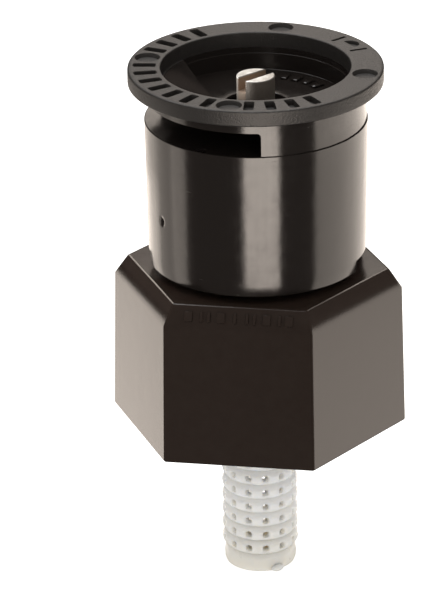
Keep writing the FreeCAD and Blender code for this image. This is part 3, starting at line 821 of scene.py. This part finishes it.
def nozzle_plastic(skin, streaks):
    """Glossy black, grained and duller on the flange."""
    material, tree, shader = new_material("nozzle_gloss")
    surface = place_group(tree, skin, Grain=0.05, Ripple=0.10)
    coarse = place_group(tree, skin, Grain=1.0, Ripple=0.08)
    marks = place_group(tree, streaks, Amount=0.10)
    flange = height_mask(tree, FLANGE_UNDER)
    tone = mixed_tone(tree, flange, (0.0105, 0.0085, 0.0075), (0.020, 0.018, 0.0165))
    gloss = new_node(tree, "MapRange", {"Value": surface.outputs["Patches"], "To Min": 0.09, "To Max": 0.15})
    streaked = new_node(tree, "Math", {0: gloss.outputs["Result"], 1: marks.outputs["Streaks"]},
                        operation="ADD")
    rough = new_node(tree, "Mix", {0: flange, 2: streaked.outputs["Value"], 3: 0.46})
    normal = new_node(tree, "Mix", {0: flange, 4: surface.outputs["Normal"], 5: coarse.outputs["Normal"]},
                      data_type="VECTOR")
    tree.links.new(tone, shader.inputs["Base Color"])
    tree.links.new(rough.outputs[0], shader.inputs["Roughness"])
    tree.links.new(normal.outputs[1], shader.inputs["Normal"])
    return material


def stainless(skin):
    """Turned steel, scuffed bright on top and stained in the driver slot."""
    material, tree, shader = new_material("stainless_turned")
    surface = place_group(tree, skin, Grain=0.70, Ripple=0.30)
    place = new_node(tree, "TexCoord").outputs["Object"]
    turned = new_node(tree, "Mapping", {"Vector": place, "Rotation": (0, 0, math.radians(-SCREW_TURN))})
    across = new_node(tree, "SeparateXYZ", {"Vector": turned.outputs["Vector"]}).outputs["Y"]
    distance = new_node(tree, "Math", {0: across}, operation="ABSOLUTE").outputs["Value"]
    in_slot = new_node(tree, "MapRange", {"Value": distance, "From Min": (SCREW_SLOT_HALF + 0.04) * MM,
                                           "From Max": SCREW_SLOT_HALF * MM})
    low = height_mask(tree, SCREW_TOP - 0.12, 0.06)
    scuffed = mixed_tone(tree, surface.outputs["Patches"], (0.42, 0.40, 0.37), (0.78, 0.76, 0.72))
    shade = new_node(tree, "MixRGB", {"Fac": low, "Color1": (0.40, 0.355, 0.31, 1), "Color2": scuffed})
    stained = new_node(tree, "MixRGB", {"Fac": in_slot.outputs["Result"], "Color1": shade.outputs["Color"],
                                        "Color2": (0.42, 0.33, 0.26, 1)})
    rough = new_node(tree, "MapRange", {"Value": surface.outputs["Patches"], "To Min": 0.36, "To Max": 0.58})
    metal = new_node(tree, "MapRange", {"Value": low, "To Min": 0.85, "To Max": 0.90})
    tree.links.new(metal.outputs["Result"], shader.inputs["Metallic"])
    tree.links.new(stained.outputs["Color"], shader.inputs["Base Color"])
    tree.links.new(rough.outputs["Result"], shader.inputs["Roughness"])
    tree.links.new(surface.outputs["Normal"], shader.inputs["Normal"])
    return material


def screen_plastic(skin):
    """Milky white that lets light in, with painted shade that darkens it towards the foot."""
    material, tree, shader = new_material("screen_milky")
    surface = place_group(tree, skin, Grain=0.06, Ripple=0.10)
    # painted shade: the base colour is darker towards the basket's foot and lightest over the upper rows
    above_painted_foot_shade = height_mask(tree, BASKET_FOOT + 4.0, 5.0)
    tone = mixed_tone(tree, above_painted_foot_shade, (0.64, 0.62, 0.57), (0.95, 0.93, 0.89))
    rough = new_node(tree, "MapRange", {"Value": surface.outputs["Patches"], "To Min": 0.26, "To Max": 0.36})
    tree.links.new(tone, shader.inputs["Base Color"])
    tree.links.new(rough.outputs["Result"], shader.inputs["Roughness"])
    tree.links.new(surface.outputs["Normal"], shader.inputs["Normal"])
    shader.inputs["Subsurface Weight"].default_value = 0.85
    shader.inputs["Subsurface Radius"].default_value = (1.0, 0.9, 0.75)
    shader.inputs["Subsurface Scale"].default_value = 0.0025
    return material


# ---------------------------------------------------------------- studio

def floor():
    """Pale ground at the basket's foot, which is seen but neither mirrored in the object nor lighting it."""
    bm = bmesh.new()
    bmesh.ops.create_grid(bm, x_segments=1, y_segments=1, size=1.5)
    shift(bm, bm.verts[:], z=BASKET_FOOT * MM)
    mesh = bpy.data.meshes.new("floor")
    bm.to_mesh(mesh)
    bm.free()
    ground = bpy.data.objects.new("floor", mesh)
    bpy.context.scene.collection.objects.link(ground)
    material, _, shader = new_material("pale_floor")
    shader.inputs["Base Color"].default_value = (0.80, 0.80, 0.80, 1)
    shader.inputs["Roughness"].default_value = 0.9
    shader.inputs["Specular IOR Level"].default_value = 0.0
    shader.inputs["Emission Color"].default_value = (1.0, 1.0, 1.0, 1)
    shader.inputs["Emission Strength"].default_value = 0.60
    mesh.materials.append(material)
    ground.visible_glossy = False
    ground.visible_diffuse = False


def light_panel(name, first, last, distance, low, high, strength, only=None):
    """Curved soft panel round the object, from one azimuth to another; azimuth 0 is -Y and 90 is +X.

    With only, the panel lights just the pieces in that collection.
    """
    bm = bmesh.new()
    verts = [bm.verts.new((0.0, -distance, level)) for level in (low, high)]
    edge = bm.edges.new(verts)
    turn(bm, first, verts)
    bmesh.ops.spin(bm, geom=verts + [edge], cent=AXIS_POINT, axis=(0, 0, 1), dvec=(0, 0, 0),
                   angle=math.radians(last - first), steps=24, use_merge=False, use_duplicate=False)
    bmesh.ops.scale(bm, vec=(MM, MM, MM), verts=bm.verts[:])
    mesh = bpy.data.meshes.new(name)
    bm.to_mesh(mesh)
    bm.free()
    panel = bpy.data.objects.new(name, mesh)
    bpy.context.scene.collection.objects.link(panel)
    material, _, shader = new_material(name)
    shader.inputs["Base Color"].default_value = (0, 0, 0, 1)
    shader.inputs["Specular IOR Level"].default_value = 0.0
    shader.inputs["Emission Color"].default_value = (1.0, 0.89, 0.79, 1)
    shader.inputs["Emission Strength"].default_value = strength
    mesh.materials.append(material)
    panel.visible_camera = False
    panel.visible_shadow = False
    panel.visible_diffuse = False
    panel.visible_transmission = False
    if only:
        panel.light_linking.receiver_collection = bpy.data.collections[only]


def soft_light(name, place, size, watts, only=None):
    """Square area light that looks at the middle of the object; only is as in light_panel."""
    lamp = bpy.data.lights.new(name, "AREA")
    lamp.size = size
    lamp.energy = watts
    holder = bpy.data.objects.new(name, lamp)
    bpy.context.scene.collection.objects.link(holder)
    holder.location = place
    holder.rotation_euler = (Vector((0, 0, 0.02)) - Vector(place)).to_track_quat("-Z", "Y").to_euler()
    if only:
        holder.light_linking.receiver_collection = bpy.data.collections[only]


def lit_together(name, pieces):
    """Collection of the pieces that a light is for."""
    collection = bpy.data.collections.new(name)
    for piece in pieces:
        collection.objects.link(piece)


def studio():
    floor()
    light_panel("left_low_panel", -150, -110, 100, -64, -11, 2.5)
    light_panel("left_high_panel", -150, -110, 100, -11, 5, 1.65, "nozzle")
    light_panel("left_back_panel", -176, -150, 100, -45, 5, 1.65, "nozzle")
    light_panel("left_panel", -110, -86, 100, -45, 5, 1.3, "nozzle")
    light_panel("left_front_panel", -86, -66, 100, -45, 5, 2.3, "nozzle")
    light_panel("front_strip", -4, 31, 200, -78, 60, 9.0, "nozzle")
    light_panel("right_panel", 69, 176, 100, -62, -1, 2.3)
    light_panel("right_high_panel", 69, 176, 100, -1, 10, 3.4, "nozzle")
    light_panel("back_panel", 178, 196, 200, 100, 230, 1.9)
    light_panel("flange_panel", 178, 196, 200, 60, 100, 1.9, "nozzle")
    light_panel("right_edge_panel", 140, 172, 200, 165, 230, 5.0, "adapter")
    light_panel("left_edge_panel", 202, 228, 200, 105, 160, 5.0, "adapter")
    soft_light("top_light", (-0.10, 0.12, 0.45), 0.35, 1.6)
    soft_light("side_light", (-0.30, -0.02, 0.16), 0.10, 2.2, "screw")
    world = bpy.data.worlds.new("studio")
    bpy.context.scene.world = world
    world.use_nodes = True
    tree = world.node_tree
    mirrored = new_node(tree, "LightPath").outputs["Is Glossy Ray"]
    tint = mixed_tone(tree, mirrored, (1.0, 0.98, 0.95), (1.0, 0.80, 0.70))
    level = new_node(tree, "MapRange", {"Value": mirrored, "To Min": 1.00, "To Max": 0.13})
    tree.links.new(tint, tree.nodes["Background"].inputs["Color"])
    tree.links.new(level.outputs["Result"], tree.nodes["Background"].inputs["Strength"])
    bpy.context.scene.view_settings.view_transform = "Standard"


def camera():
    """Long lens, looking down at the object from in front and a little to its right."""
    lens = bpy.data.cameras.new("camera")
    lens.sensor_fit = "VERTICAL"
    lens.sensor_height = 36.0
    lens.lens = 245.1
    holder = bpy.data.objects.new("camera", lens)
    bpy.context.scene.collection.objects.link(holder)
    azimuth, elevation, distance, aim_height = math.radians(9.11), 0.4059, 0.4436, 0.020
    pan, tilt, roll = 0.0115, 0.0134, 0.0106
    holder.matrix_world = (
        Matrix.Translation((0, 0, aim_height))
        @ Matrix.Rotation(azimuth, 4, "Z")
        @ Matrix.Rotation(math.pi / 2 - elevation, 4, "X")
        @ Matrix.Translation((0, 0, distance))
        @ Matrix.Rotation(pan, 4, "Y")
        @ Matrix.Rotation(-tilt, 4, "X")
        @ Matrix.Rotation(-roll, 4, "Z")
    )
    bpy.context.scene.camera = holder


def main():
    camera()
    skin = moulded_skin()
    streaks = draw_marks()
    satin = adapter_plastic(skin, streaks)
    gloss = nozzle_plastic(skin, streaks)
    milky = screen_plastic(skin)
    lit_together("adapter", [riser_adapter(satin), adapter_marks(satin)])
    lit_together("nozzle", [nozzle_base(gloss), nozzle_cap(gloss), recess_marks(gloss)])
    lit_together("screw", [flow_screw(stainless(skin))])
    filter_basket(milky)
    basket_nub(milky)
    studio()


main()
